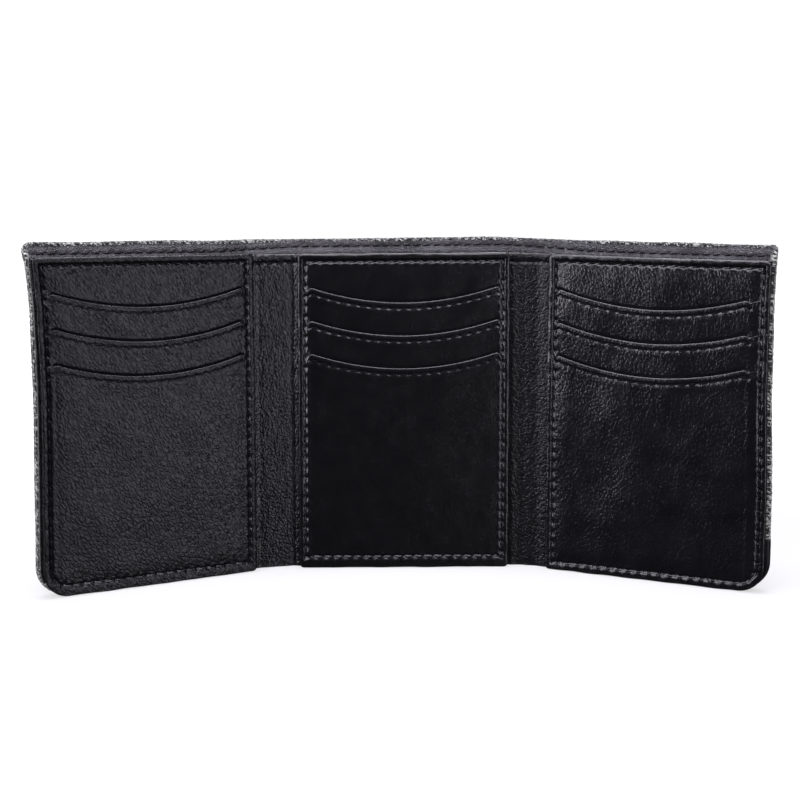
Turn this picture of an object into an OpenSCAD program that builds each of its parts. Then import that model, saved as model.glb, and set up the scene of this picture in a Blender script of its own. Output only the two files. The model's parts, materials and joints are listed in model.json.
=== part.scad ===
// Trifold wallet, standing half open on its bottom edge with the inside facing -Y.
// X runs along the wallet, Z up its height. The origin is the middle of the liner's bottom edge.
// Five bodies lie side by side: left wing, left spine, centre, right spine, right wing.
// Every piece is drawn in the flat, unfolded wallet and then folded into place about its creases.
// From front to back: card panel, leather liner, bill compartment, lining and facing, outer cloth.

/* [Leaves] */
// Height of the outer cloth shell
shell_h = 108; // [100:1:120]
// How far the liner and the card panels stop below the top of the shell
top_margin = 4.6; // [3:0.1:8]
// Width of the centre card panel
centre_w = 68; // [64:0.5:76]
// Width of each wing's card panel
wing_w = 68.5; // [60:0.5:69]
// How far the cloth reaches past the wings' card panels
shell_margin = 1.2; // [0.4:0.1:1.8]
// Radius of the shell's two bottom corners
corner_r = 10; // [6:0.5:14]

/* [Folds] */
// Liner showing between the centre panel and the left wing's panel
left_gap = 16.2; // [15.8:0.2:20]
// Liner showing between the centre panel and the right wing's panel
right_gap = 14.6; // [14:0.2:20]
// Distance between the left wing's two creases: this wing closes last, over the right one
left_spine = 11.2; // [11:0.1:14]
// Distance between the right wing's two creases: this wing closes first
right_spine = 5.4; // [5.2:0.1:7]
// Angle of the left wing as the wallet stands, 0 when flat and 180 when closed
left_angle = 24; // [0:1:90]
// Angle of the right wing as the wallet stands, 0 when flat and 180 when closed
right_angle = 23.5; // [0:0.5:90]
// Width of the slit left between two bodies along a crease
crease_slit = 0.3; // [0.1:0.05:0.6]

/* [Layers] */
// Thickness of the leather liner
liner_t = 0.7; // [0.5:0.1:1.2]
// Depth of the bill compartment between the liner and the lining
bill_gap = 0.8; // [0.4:0.1:1.5]
// Thickness of the lining and of the leather facing above it
lining_t = 0.5; // [0.3:0.1:0.8]
// Thickness of the outer cloth
cloth_t = 0.8; // [0.6:0.1:1.2]
// Thickness of one card pocket's leather
sheet_t = 0.44; // [0.3:0.02:0.6]
// Room for a card behind each pocket when the slots are empty
slot_gap = 0.18; // [0.1:0.02:0.4]
// Room for a slip of paper between the liner and a card panel
slip_gap = 0.1; // [0.05:0.05:0.3]

/* [Card slots] */
// Drop from the top of a card panel to the middle of its first lip
first_lip = 16.3; // [10:0.1:24]
// Drop from one lip to the next
lip_pitch = 10.7; // [8:0.1:14]
// How far the middle of a lip dips below its ends
lip_sag = 5.2; // [1:0.1:8]

/* [Edges and stitches] */
// Width of the turned edge round a card panel
edge_w = 3.2; // [2.6:0.1:4]
// Play between the turned edge and the pockets inside it
edge_play = 0.05; // [0.02:0.01:0.1]
// Width of the cloth's turned hem
hem_w = 3; // [2:0.1:5]
// Height of the cloth that shows above the facing
rim_h = 0.6; // [0.3:0.1:1.5]
// Height of the leather facing inside the top of the shell
facing_h = 22; // [12:1:40]
// Side of the leather patch on the right wing's outer bottom corner
patch_w = 17; // [12:0.5:30]
// How far the corner patch stands proud of the cloth
patch_proud = 0.2; // [0.1:0.1:0.4]
// Distance from one stitch to the next
stitch_pitch = 3.3; // [2:0.1:5]
// Length of one stitch
stitch_len = 2.4; // [1:0.1:4]
// Width of the thread
thread_w = 0.45; // [0.2:0.05:0.8]
// How far the thread stands proud of the leather
thread_proud = 0.2; // [0.1:0.05:0.3]
// Distance of the stitches from a panel's sides and bottom
stitch_in = 2.3; // [1.5:0.1:3]
// Distance of the stitches from a panel's top edge
top_stitch_in = 3; // [2:0.1:5]
// Distance of the stitches below a lip
lip_stitch_in = 2; // [1:0.1:3]
// Distance of the facing's stitches below the top of the shell
facing_stitch_in = 2.7; // [1.5:0.1:5]

/* [Hidden] */
$fn = 96;
LEATHER = "#1b1c20";
CLOTH = "#565a58";
LINING = "#2a2c31";
THREAD = "#0d0d0f";

// Bodies from left to right. LEAVES are those that carry a card panel.
BODIES = ["left_wing", "left_spine", "centre", "right_spine", "right_wing"];
LEFT_WING = 0;
LEFT_SPINE = 1;
CENTRE = 2;
RIGHT_SPINE = 3;
RIGHT_WING = 4;
LEAVES = [LEFT_WING, CENTRE, RIGHT_WING];
SHELL_PIECES = ["cloth", "lining", "facing", "hem", "liner", "top_thread"];
PANEL_PIECES = [
    "card_back", "upper_pocket", "middle_pocket", "front_pocket",
    "edge_binding", "panel_thread", "slot_thread"
];

// Flat layout along X: the outer edges and the four creases, which centre each spine in its gap.
left_inset = (left_gap - left_spine) / 2;
right_inset = (right_gap - right_spine) / 2;
left_crease = -centre_w / 2 - left_inset;
right_crease = centre_w / 2 + right_inset;
left_edge = -centre_w / 2 - left_gap - wing_w - shell_margin;
right_edge = centre_w / 2 + right_gap + wing_w + shell_margin;
EDGES = [
    left_edge, left_crease - left_spine, left_crease,
    right_crease, right_crease + right_spine, right_edge
];
panel_h = shell_h - top_margin;

// Layers along Y. The creases bend about the liner's front face.
liner_front = -liner_t / 2;
liner_back = liner_t / 2;
lining_front = liner_back + bill_gap;
cloth_front = lining_front + lining_t;
card_step = sheet_t + slot_gap;
card_back_y = liner_front - slip_gap;
panel_front = card_back_y - 3 * card_step - sheet_t;

// A lip is an arc that falls by lip_sag over half a pocket's width.
function lip_z(n) = panel_h - first_lip - (n - 1) * lip_pitch;
function pocket_half(leaf) = (panel_x(leaf)[1] - panel_x(leaf)[0]) / 2 - edge_w - edge_play;
function lip_r(leaf) = (pow(pocket_half(leaf), 2) + pow(lip_sag, 2)) / (2 * lip_sag);
function panel_mid(leaf) = (panel_x(leaf)[0] + panel_x(leaf)[1]) / 2;

// Ends of a body along X, with its outer edge, if it has one, drawn in by inset.
function body_x(body, inset) = [
    EDGES[body] + (body == LEFT_WING ? inset : crease_slit / 2),
    EDGES[body + 1] - (body == RIGHT_WING ? inset : crease_slit / 2)
];
// Ends of a card panel along X.
function panel_x(leaf) =
    leaf == LEFT_WING ? [left_edge + shell_margin, left_edge + shell_margin + wing_w] :
    leaf == CENTRE ? [-centre_w / 2, centre_w / 2] :
    [right_edge - shell_margin - wing_w, right_edge - shell_margin];
// Radii of the bottom left and bottom right corners.
function corners(body, inset) = [
    body == LEFT_WING ? corner_r - inset : 0,
    body == RIGHT_WING ? corner_r - inset : 0
];

// Folding: a body turns by half its wing's angle about each crease between it and the centre.
module bend(x, angle) translate([x, liner_front, 0]) rotate(angle) translate([-x, -liner_front, 0]) children();
module in_place(body) {
    if (body == LEFT_WING) bend(EDGES[2], left_angle / 2) bend(EDGES[1], left_angle / 2) children();
    if (body == LEFT_SPINE) bend(EDGES[2], left_angle / 2) children();
    if (body == CENTRE) children();
    if (body == RIGHT_SPINE) bend(EDGES[3], -right_angle / 2) children();
    if (body == RIGHT_WING) bend(EDGES[3], -right_angle / 2) bend(EDGES[4], -right_angle / 2) children();
}

// A flat layer between y_front and y_back, from an outline drawn in X and Z.
module layer(y_front, y_back) {
    translate([0, y_back, 0]) rotate([90, 0, 0]) linear_extrude(y_back - y_front) children();
}
module corner_cut(x, r, side) {
    if (r > 0) translate([x, 0]) difference() {
        translate([side > 0 ? -r : 0, 0]) square(r);
        translate([-side * r, r]) circle(r);
    }
}
// A rectangle whose two bottom corners are rounded.
module outline(x, z, radii) {
    difference() {
        translate([x[0], z[0]]) square([x[1] - x[0], z[1] - z[0]]);
        translate([0, z[0]]) corner_cut(x[0], radii[0], -1);
        translate([0, z[0]]) corner_cut(x[1], radii[1], 1);
    }
}
module body_outline(body, inset, top) outline(body_x(body, inset), [0, top], corners(body, inset));
module panel_outline(leaf) outline(panel_x(leaf), [0, panel_h], corners(leaf, shell_margin));
// The part of a card panel that lies at least inset inside its sides and bottom, up to the height top.
module pocket_outline(leaf, inset, top) {
    x = [panel_x(leaf)[0] + inset, panel_x(leaf)[1] - inset];
    radii = [for (r = corners(leaf, shell_margin)) max(r - inset, 0)];
    outline(x, [inset, top], radii);
}
module patch_outline() {
    translate([right_edge - patch_w, 0]) square(patch_w);
}

// Outer shell
module cloth(body) {
    color(CLOTH) layer(cloth_front, cloth_front + cloth_t) difference() {
        body_outline(body, 0, shell_h);
        if (body == RIGHT_WING) patch_outline();
    }
}
module lining(body) {
    color(LINING) layer(lining_front, cloth_front) body_outline(body, 0, shell_h - facing_h);
}
module facing(body) {
    color(LEATHER) layer(lining_front, cloth_front)
        outline(body_x(body, 0), [shell_h - facing_h, shell_h - rim_h], [0, 0]);
}
// The cloth's turned edges close the bill compartment along the bottom and the outer sides.
module hem(body) {
    x = body_x(body, 0);
    inner = [x[0] + (body == LEFT_WING ? hem_w : -1), x[1] - (body == RIGHT_WING ? hem_w : -1)];
    color(CLOTH) {
        layer(liner_back, lining_front) difference() {
            body_outline(body, 0, panel_h);
            outline(inner, [hem_w, shell_h], [for (r = corners(body, 0)) max(r - hem_w, 0)]);
        }
        layer(lining_front, cloth_front) outline(x, [shell_h - rim_h, shell_h], [0, 0]);
    }
}
module corner_patch() {
    color(LEATHER) layer(cloth_front, cloth_front + cloth_t + patch_proud) intersection() {
        body_outline(RIGHT_WING, 0, shell_h);
        patch_outline();
    }
}

// Inside
module liner(body) {
    color(LEATHER) layer(liner_front, liner_back) body_outline(body, shell_margin, panel_h);
}
module card_back(leaf) {
    color(LEATHER) layer(card_back_y - sheet_t, card_back_y) panel_outline(leaf);
}
// Pocket n counts from 1, the upper one, to 3, the front one.
module pocket(leaf, n) {
    back = card_back_y - n * card_step;
    color(LEATHER) layer(back - sheet_t, back) difference() {
        pocket_outline(leaf, edge_w + edge_play, lip_z(n) + lip_sag);
        translate([panel_mid(leaf), lip_z(n) + lip_r(leaf)]) circle(lip_r(leaf), $fn = 720);
    }
}
module edge_binding(leaf) {
    color(LEATHER) layer(panel_front, card_back_y - sheet_t) difference() {
        panel_outline(leaf);
        pocket_outline(leaf, edge_w, panel_h + 1);
    }
}

// Stitches, each a short flat bar that lies on the surface at y
module stitch(x, z, slope, y) {
    color(THREAD) translate([x, y, z]) rotate([0, -slope, 0])
        translate([-stitch_len / 2, -thread_proud, -thread_w / 2])
            cube([stitch_len, thread_proud, thread_w]);
}
module stitch_row(from, to, y) {
    run = to - from;
    count = floor(norm(run) / stitch_pitch);
    slope = atan2(run[1], run[0]);
    for (i = [0:count - 1]) {
        p = from + run * (i + 0.5) / count;
        stitch(p[0], p[1], slope, y);
    }
}
module stitch_arc(mid, r, from, to, y) {
    count = floor(r * (to - from) * PI / 180 / stitch_pitch);
    for (i = [0:count - 1]) {
        a = from + (to - from) * (i + 0.5) / count;
        stitch(mid[0] + r * cos(a), mid[1] + r * sin(a), a + 90, y);
    }
}
// Down both sides, along the bottom and round a wing's corner on the turned edge, and along the top.
module panel_thread(leaf) {
    x = [panel_x(leaf)[0] + stitch_in, panel_x(leaf)[1] - stitch_in];
    r = [for (c = corners(leaf, shell_margin)) max(c - stitch_in, 0)];
    top = panel_h - top_stitch_in;
    stitch_row([x[0], stitch_in + r[0]], [x[0], top], panel_front);
    stitch_row([x[1], stitch_in + r[1]], [x[1], top], panel_front);
    stitch_row([x[0] + r[0], stitch_in], [x[1] - r[1], stitch_in], panel_front);
    if (r[0] > 0) stitch_arc([x[0] + r[0], stitch_in + r[0]], r[0], 180, 270, panel_front);
    if (r[1] > 0) stitch_arc([x[1] - r[1], stitch_in + r[1]], r[1], 270, 360, panel_front);
    stitch_row([x[0] + edge_w, top], [x[1] - edge_w, top], card_back_y - sheet_t);
}
module slot_thread(leaf) {
    half = asin((pocket_half(leaf) - 1) / lip_r(leaf));
    for (n = [1:3])
        stitch_arc([panel_mid(leaf), lip_z(n) + lip_r(leaf)], lip_r(leaf) + lip_stitch_in,
            270 - half, 270 + half, card_back_y - n * card_step - sheet_t);
}
// Along the facing, and on the liner of a spine.
module top_thread(body) {
    x = body_x(body, shell_margin + stitch_in);
    z = shell_h - facing_stitch_in;
    stitch_row([x[0], z], [x[1], z], lining_front);
    liner_z = panel_h - top_stitch_in;
    if (body == LEFT_SPINE || body == RIGHT_SPINE) stitch_row([x[0], liner_z], [x[1], liner_z], liner_front);
}

for (body = [0:len(BODIES) - 1]) {
    in_place(body) cloth(body);
    in_place(body) lining(body);
    in_place(body) facing(body);
    in_place(body) hem(body);
    in_place(body) liner(body);
    in_place(body) top_thread(body);
}
for (leaf = LEAVES) {
    in_place(leaf) card_back(leaf);
    in_place(leaf) pocket(leaf, 1);
    in_place(leaf) pocket(leaf, 2);
    in_place(leaf) pocket(leaf, 3);
    in_place(leaf) edge_binding(leaf);
    in_place(leaf) panel_thread(leaf);
    in_place(leaf) slot_thread(leaf);
}
in_place(RIGHT_WING) corner_patch();  // right_wing_corner_patch
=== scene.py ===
"""Trifold wallet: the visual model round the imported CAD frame."""

import json
import math

import bpy
import numpy as np
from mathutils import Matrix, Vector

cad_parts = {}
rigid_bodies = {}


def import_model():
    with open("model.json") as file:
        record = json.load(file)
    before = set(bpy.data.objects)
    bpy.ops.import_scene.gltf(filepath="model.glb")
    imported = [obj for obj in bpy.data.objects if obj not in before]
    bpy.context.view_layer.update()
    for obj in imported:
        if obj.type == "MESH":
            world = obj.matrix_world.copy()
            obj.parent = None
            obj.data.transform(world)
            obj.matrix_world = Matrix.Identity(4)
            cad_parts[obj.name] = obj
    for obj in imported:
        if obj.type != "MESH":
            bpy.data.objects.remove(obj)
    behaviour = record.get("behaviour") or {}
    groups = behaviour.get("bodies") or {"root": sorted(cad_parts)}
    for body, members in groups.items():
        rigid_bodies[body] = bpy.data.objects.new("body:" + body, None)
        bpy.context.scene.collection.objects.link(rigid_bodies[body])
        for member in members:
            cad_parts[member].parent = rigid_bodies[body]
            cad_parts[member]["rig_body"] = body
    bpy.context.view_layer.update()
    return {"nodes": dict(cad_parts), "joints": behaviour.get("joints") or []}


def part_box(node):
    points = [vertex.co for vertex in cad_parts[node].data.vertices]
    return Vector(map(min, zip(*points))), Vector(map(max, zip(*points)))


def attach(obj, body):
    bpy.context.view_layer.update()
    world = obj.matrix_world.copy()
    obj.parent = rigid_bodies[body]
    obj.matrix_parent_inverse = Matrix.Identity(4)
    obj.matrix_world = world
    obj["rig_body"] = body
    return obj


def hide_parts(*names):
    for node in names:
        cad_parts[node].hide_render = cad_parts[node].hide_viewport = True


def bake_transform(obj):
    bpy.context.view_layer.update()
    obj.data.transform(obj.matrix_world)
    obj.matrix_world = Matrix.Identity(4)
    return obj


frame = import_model()

# ---------------- units and small tools
# Lengths are millimetres until a mesh is made. "Flat" coordinates are the unfolded wallet's:
# s along its width, y its depth (towards the back), z its height.
MM = 0.001


def smooth(t):
    """Eases from 0 to 1 as t goes from 0 to 1."""
    t = np.clip(t, 0.0, 1.0)
    return t * t * (3 - 2 * t)


def bell(x, width):
    """A rounded bump of height 1 at x = 0."""
    return np.exp(-((x / width) ** 2))


def waves(a, b, shortest, longest, seed, count=14):
    """Smooth seeded noise of about -1 to 1, as a sum of plane waves of the given lengths."""
    rng = np.random.default_rng(seed)
    total = np.zeros(np.broadcast(a, b).shape)
    for _ in range(count):
        length = rng.uniform(shortest, longest)
        heading, phase = rng.uniform(0, 2 * math.pi, 2)
        onward = a * math.cos(heading) + b * math.sin(heading)
        total += np.sin(2 * math.pi / length * onward + phase)
    return total / math.sqrt(count)


def graded(start, end, fine, coarse, spots, reach):
    """Values from start to end, fine apart within reach of each spot and coarse elsewhere."""
    values = [start]
    while values[-1] < end:
        gap = min([abs(values[-1] - spot) for spot in spots] or [reach + 1])
        share = float(smooth((gap - reach) / (2 * reach + 1e-6)))
        values.append(values[-1] + fine + (coarse - fine) * share)
    values = np.array(values)
    return start + (values - start) * (end - start) / (values[-1] - start)


# ---------------- creases
JOINTS = {j["name"]: j for j in frame["joints"]}


def pivot(name):
    return np.array(JOINTS[name]["pos_m"]) / MM


AXIS_Y = pivot("left_inner_fold")[1]
SHELL_Z1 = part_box("centre_hem")[1].z / MM
SOFT = 2.4  # how far each side of a crease the soft layers bend


def crease_pair(side, sign):
    """The outer and the inner crease of a fold: where each lies flat, and how far it turns at rest."""
    names = (side + "_outer_fold", side + "_inner_fold")
    outer, inner = [pivot(name) for name in names]
    spine = float(np.hypot(*(outer - inner)[:2]))
    turns = [sign * math.radians(JOINTS[name]["range_deg"][0]) for name in names]
    return [(inner[0] + sign * spine, turns[0]), (inner[0], turns[1])]


CREASES = {-1: crease_pair("left", -1), 1: crease_pair("right", 1)}
TURNED = {  # for each body: the side it is on, and whether its outer and inner creases turn it
    "centre": (0, (0, 0)),
    "left_spine": (-1, (0, 1)),
    "left_wing": (-1, (1, 1)),
    "right_spine": (1, (0, 1)),
    "right_wing": (1, (1, 1)),
}


def turn(x, y, at, angle):
    """Turns x, y about the crease at x = at."""
    dx, dy = x - at, y - AXIS_Y
    cos, sin = np.cos(angle), np.sin(angle)
    return at + dx * cos - dy * sin, AXIS_Y + dx * sin + dy * cos


# A sewn wallet isn't quite square: how far its top, its left side and its right side are out.
RISE_AT = (-119, -60, 0, 30, 50, 80, 118)
RISE = (0.75, 0.4, 0.8, 1.0, 0.7, 0.1, -0.2)
SIDES_AT = (0, 30, 60, 88, 108)
LEFT_OUT = (0.3, 0.65, 1.0, 0.5, -1.0)
RIGHT_OUT = (0.4, 0.6, -0.1, 0.0, 0.4)


def hand_made(s, z):
    """The small departures from square of a sewn wallet."""
    spread = np.clip((-60 - s) / 58, 0, 1) * np.interp(z, SIDES_AT, LEFT_OUT)
    spread += np.clip((s - 60) / 57, 0, 1) * np.interp(z, SIDES_AT, RIGHT_OUT)
    return s + spread, z + np.interp(s, RISE_AT, RISE) * np.clip(z / SHELL_Z1, 0, 1)


def fold(s, y, z, body=None):
    """Flat coordinates to the row frame at rest. A body's name turns everything with that body;
    without one, each point turns by where it lies, as a soft layer does."""
    s, z = hand_made(np.array(s, float), np.array(z, float))
    x = s
    y = np.array(y, float)
    for sign, pair in CREASES.items():
        for k, (at, angle) in enumerate(pair):
            if body is None:
                weight = smooth((sign * (s - at) + SOFT) / (2 * SOFT))
            else:
                side, turned = TURNED[body]
                weight = turned[k] if side == sign else 0
            x, y = turn(x, y, at, angle * weight)
    return np.stack([x, y, np.broadcast_to(z, x.shape)], -1)


def flat_box(node):
    """A CAD node's box in flat coordinates: (s0, s1, y0, y1, z0, z1)."""
    obj = frame["nodes"][node]
    x, y, z = np.array([vertex.co for vertex in obj.data.vertices], float).T / MM
    side, turned = TURNED[obj["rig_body"]]
    if side:
        for k in (1, 0):
            at, angle = CREASES[side][k]
            x, y = turn(x, y, at, -angle * turned[k])
    return x.min(), x.max(), y.min(), y.max(), z.min(), z.max()


# ---------------- the CAD's sizes
LEAVES = ("left_wing", "centre", "right_wing")
PANEL = {leaf: flat_box(leaf + "_edge_binding") for leaf in LEAVES}


def by_leaf(left_wing, centre, right_wing):
    return {"left_wing": left_wing, "centre": centre, "right_wing": right_wing}


# A hand-turned edge isn't quite where it should be: how far each panel's left, right and top
# edges are out, to the right and upwards.
EDGES_OUT = by_leaf((0.55, 0.6, 0.3), (-0.6, 0.5, 0.0), (-0.9, 0.0, -0.15))
for leaf in LEAVES:
    s0, s1, y0, y1, z0, z1 = PANEL[leaf]
    left, right, up = EDGES_OUT[leaf]
    PANEL[leaf] = (s0 + left, s1 + right, y0, y1, z0, z1 + up)
SHELL_S0 = flat_box("left_wing_cloth")[0]
SHELL_S1 = flat_box("right_wing_cloth")[1]
CLOTH_BACK = flat_box("centre_cloth")[3]
FACING = flat_box("centre_facing")
LINING = flat_box("centre_lining")
LINER_FRONT, LINER_BACK = flat_box("centre_liner")[2:4]
PANEL_TOP = PANEL["centre"][5]
CORNER_R = 9.2  # the shell's outer bottom corners
PANEL_R = 8.0  # the wing panels' outer bottom corners
SMALL_R = 1.5  # every other corner
STITCH_IN = 2.3  # the panel's stitch row, in from its side edges
# how much wider the turned edge is along the bottom and the top than down the sides
BOTTOM_WIDER = by_leaf(1.30, 1.56, 1.06)
TOP_WIDER = by_leaf(1.07, 1.14, 1.02)
PITCH = 3.3  # from stitch to stitch
STITCH_HALF = 1.28  # half a stitch's length
THREAD_R = 0.21
THREAD_SUNK = by_leaf(0.42, 0.32, 0.40)  # below the leather's face
SLOT_THREAD_SUNK = by_leaf(0.12, 0.17, 0.12)  # and along the slots
LIP_PITCH = 10.7
LIP_SAG = 5.2  # how much lower a pocket's lip is in the middle than at its ends
LIP_STITCH = 2.0  # the lip's stitch row, below its edge
SHOULDER = 2.0  # the rounding where a lip runs into the stitch row
POCKETS = ("upper", "middle", "front")
LIP_LOW = [flat_box(f"centre_{name}_pocket")[5] - LIP_SAG for name in POCKETS]
LEAF_LIFT = by_leaf(0.75, 0.25, -0.3)  # how much higher the slots are
# how far short of the stitch row the slots end, on the left and on the right
LIP_ENDS = by_leaf((1.5, 1.0), (1.0, 0.6), (0.4, 3.6))
HEADER_Y = -1.65  # front face of the sheet above the slots
LAYER_STEP = 0.35  # each pocket stands this far in front of the last
SLOT_DEPTH = 0.42  # how far the sheet behind drops away at a slot
MIDS = {side: sum(at for at, _ in pair) / 2 for side, pair in CREASES.items()}  # of the spines


def corner_radii(leaf):
    """Radii of a panel's corners: lower left, lower right, upper right, upper left."""
    lower = [PANEL_R if leaf == wing else SMALL_R for wing in ("left_wing", "right_wing")]
    return (*lower, SMALL_R, SMALL_R)


def panel_box(leaf, inset=0.0):
    s0, s1, _, _, z0, z1 = PANEL[leaf]
    return s0 + inset, s1 - inset, z0 + inset * BOTTOM_WIDER[leaf], z1 - inset * TOP_WIDER[leaf]


# ---------------- outlines
CORNER_SIGNS = ((-1, -1), (1, -1), (1, 1), (-1, 1))


def inset_radii(radii, inset):
    return [max(r - inset, 0.06) for r in radii]


def corner_centre(box, radius, signs):
    s0, s1, z0, z1 = box
    a, b = signs
    return s1 - radius if a > 0 else s0 + radius, z1 - radius if b > 0 else z0 + radius


def outline_loop(box, radii, arc_points, steps):
    """Points round a rounded rectangle, anticlockwise: so many on each arc, so many steps a side."""
    arcs = []
    for k, signs in enumerate(CORNER_SIGNS):
        cs, cz = corner_centre(box, radii[k], signs)
        angles = math.pi + (k + np.linspace(0, 1, arc_points[k])) * math.pi / 2
        arcs.append(np.stack([cs + radii[k] * np.cos(angles), cz + radii[k] * np.sin(angles)], -1))
    loop = []
    for k in range(4):
        loop.append(arcs[k])
        a, b = arcs[k][-1], arcs[(k + 1) % 4][0]
        t = np.linspace(0, 1, steps[k] + 1)[1:-1, None]
        loop.append(a + (b - a) * t)
    return np.concatenate(loop)


def ring_loops(box, radii, insets, spacing, wider=(1.0, 1.0)):
    """One loop of points for each inset, with matching points. wider is how much more the loops
    go in along the bottom and the top."""
    s0, s1, z0, z1 = box
    steps = [int((s1 - s0) / spacing), int((z1 - z0) / spacing)] * 2
    arc_points = [max(6, int(r * math.pi / 2 / spacing)) for r in radii]
    loops = []
    for d in insets:
        inner = (s0 + d, s1 - d, z0 + d * wider[0], z1 - d * wider[1])
        loops.append(outline_loop(inner, inset_radii(radii, d), arc_points, steps))
    return loops


def outline_frame(s, z, box, radii):
    """For each point: its distance outside a rounded rectangle, the nearest point on it and the
    direction outwards there."""
    s0, s1, z0, z1 = box
    gaps = np.stack([s0 - s, s - s1, z0 - z, z - z1], 0)
    side = gaps.argmax(0)
    distance = gaps.max(0)
    normal_s = np.select([side == 0, side == 1], [-1.0, 1.0], 0.0)
    normal_z = np.select([side == 2, side == 3], [-1.0, 1.0], 0.0)
    for k, (a, b) in enumerate(CORNER_SIGNS):
        cs, cz = corner_centre(box, radii[k], (a, b))
        ds, dz = s - cs, z - cz
        here = (a * ds > 0) & (b * dz > 0)
        far = np.hypot(ds, dz) + 1e-9
        distance = np.where(here, far - radii[k], distance)
        normal_s = np.where(here, ds / far, normal_s)
        normal_z = np.where(here, dz / far, normal_z)
    return distance, s - distance * normal_s, z - distance * normal_z, normal_s, normal_z


def round_corners(s, z, box, radii):
    """Pulls a square grid's corners in to the arcs of a rounded rectangle."""
    for k, (a, b) in enumerate(CORNER_SIGNS):
        if radii[k] <= 0:
            continue
        cs, cz = corner_centre(box, radii[k], (a, b))
        ds, dz = a * (s - cs), b * (z - cz)
        here = (ds > 0) & (dz > 0)
        scale = np.where(here, np.maximum(ds, dz) / (np.hypot(ds, dz) + 1e-9), 1.0)
        s = np.where(here, cs + a * ds * scale, s)
        z = np.where(here, cz + b * dz * scale, z)
    return s, z


# ---------------- stitch rows
def along(points, closed):
    """Evenly spaced stitches on a line of points: their centres, directions and the holes between."""
    if closed:
        points = np.concatenate([points, points[:1]])
    lengths = np.concatenate([[0], np.cumsum(np.hypot(*np.diff(points, axis=0).T))])
    count = max(1, int(round(lengths[-1] / PITCH)))
    step = lengths[-1] / count

    def at(where):
        return np.stack([np.interp(where, lengths, points[:, k]) for k in (0, 1)], -1)

    middles = (np.arange(count) + 0.5) * step
    centres = at(middles)
    ahead = at(middles + 0.5) - at(middles - 0.5)
    ahead /= np.hypot(*ahead.T)[:, None]
    holes = at(np.arange(count if closed else count + 1) * step)
    return centres, ahead, holes


def nearness(s, z, holes, width):
    """1 at each hole, falling off over width."""
    nearest = np.full(s.shape, 1e9)
    for hole_s, hole_z in holes:
        np.minimum(nearest, (s - hole_s) ** 2 + (z - hole_z) ** 2, out=nearest)
    return np.exp(-nearest / width**2)


RINGS, AROUND = 13, 8  # sections along a stitch, and points round each
THREAD_DIVE = 0.42  # how far a stitch's ends go down into the holes


def stitch_parts(centres, ahead, level, seed, slant=0.10):
    """Two-ply stitches lying along a row, their ends diving into the holes."""
    rng = np.random.default_rng(seed)
    count = len(centres)
    t = np.linspace(-1, 1, RINGS)[None, :, None]
    phi = np.linspace(0, 2 * math.pi, AROUND, endpoint=False)[None, None, :]

    def for_each(values):
        return np.broadcast_to(values, (count,))[:, None, None]

    half = for_each(STITCH_HALF * rng.uniform(0.95, 1.04, count))
    askew = for_each(slant + rng.normal(0, 0.03, count))
    plies = 1 + 0.13 * np.cos(2 * phi - 5.5 * t)
    radius = THREAD_R * np.sqrt(np.clip(1 - np.abs(t) ** 5, 0.0025, 1)) * plies
    side = radius * np.cos(phi) + askew * t
    y = for_each(level) - (0.17 - THREAD_DIVE * np.abs(t) ** 4) - radius * np.sin(phi)
    run = half * t + 0 * side
    ds, dz = for_each(ahead[:, 0]), for_each(ahead[:, 1])
    s = for_each(centres[:, 0]) + ds * run - dz * side
    z = for_each(centres[:, 1]) + dz * run + ds * side
    starts = (np.arange(count) * RINGS * AROUND)[:, None, None]
    faces = (quads(RINGS, AROUND, close_cols=True)[None] + starts).reshape(-1, 4)
    first = np.arange(AROUND)
    caps = (np.stack([first[::-1], first + (RINGS - 1) * AROUND])[None] + starts).reshape(-1, AROUND)
    return stacked(s, y, z), [faces, caps], stacked(run, side * 3, 0 * s)


# ---------------- meshes
# A part is its points in flat coordinates, its groups of faces, and the place of each point in the
# material's pattern.
def stacked(a, b, c):
    """Three arrays of coordinates to a list of points."""
    return np.stack(np.broadcast_arrays(a, b, c), -1).reshape(-1, 3)


def quads(rows, cols, close_cols=False, close_rows=False):
    """The faces of a grid of points, which may close on itself either way."""
    r = np.arange(rows if close_rows else rows - 1)
    c = np.arange(cols if close_cols else cols - 1)
    rr, cc = np.meshgrid(r, c, indexing="ij")
    up, on = (rr + 1) % rows, (cc + 1) % cols
    face = [rr * cols + cc, rr * cols + on, up * cols + on, up * cols + cc]
    return np.stack(face, -1).reshape(-1, 4)


def slab(s, z, front, back, shown=None, behind=None):
    """A closed sheet from a grid: its front, its back and the edge between them. behind is where
    the back's points are, when they aren't straight behind the front's."""
    rows, cols = s.shape
    size = rows * cols
    s_back, z_back = behind or (s, z)
    verts = np.concatenate([stacked(s, front, z), stacked(s_back, back, z_back)])
    face = quads(rows, cols)
    index = np.arange(size).reshape(rows, cols)
    rim = np.concatenate([index[0, :-1], index[:-1, -1], index[-1, :0:-1], index[:0:-1, 0]])
    following = np.roll(rim, -1)
    wall = np.stack([rim, rim + size, following + size, following], -1)
    pattern = stacked(*(shown or (s, z, 0 * s)))
    return verts, [face, face[:, ::-1] + size, wall], np.concatenate([pattern, pattern])


def volume(verts, faces):
    """Six times a closed part's volume, below 0 when its faces are inside out."""
    total = 0.0
    for group in faces:
        corners = [verts[column] for column in group.T]
        for second, third in zip(corners[1:], corners[2:]):
            total += float((corners[0] * np.cross(second, third)).sum())
    return total


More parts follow.
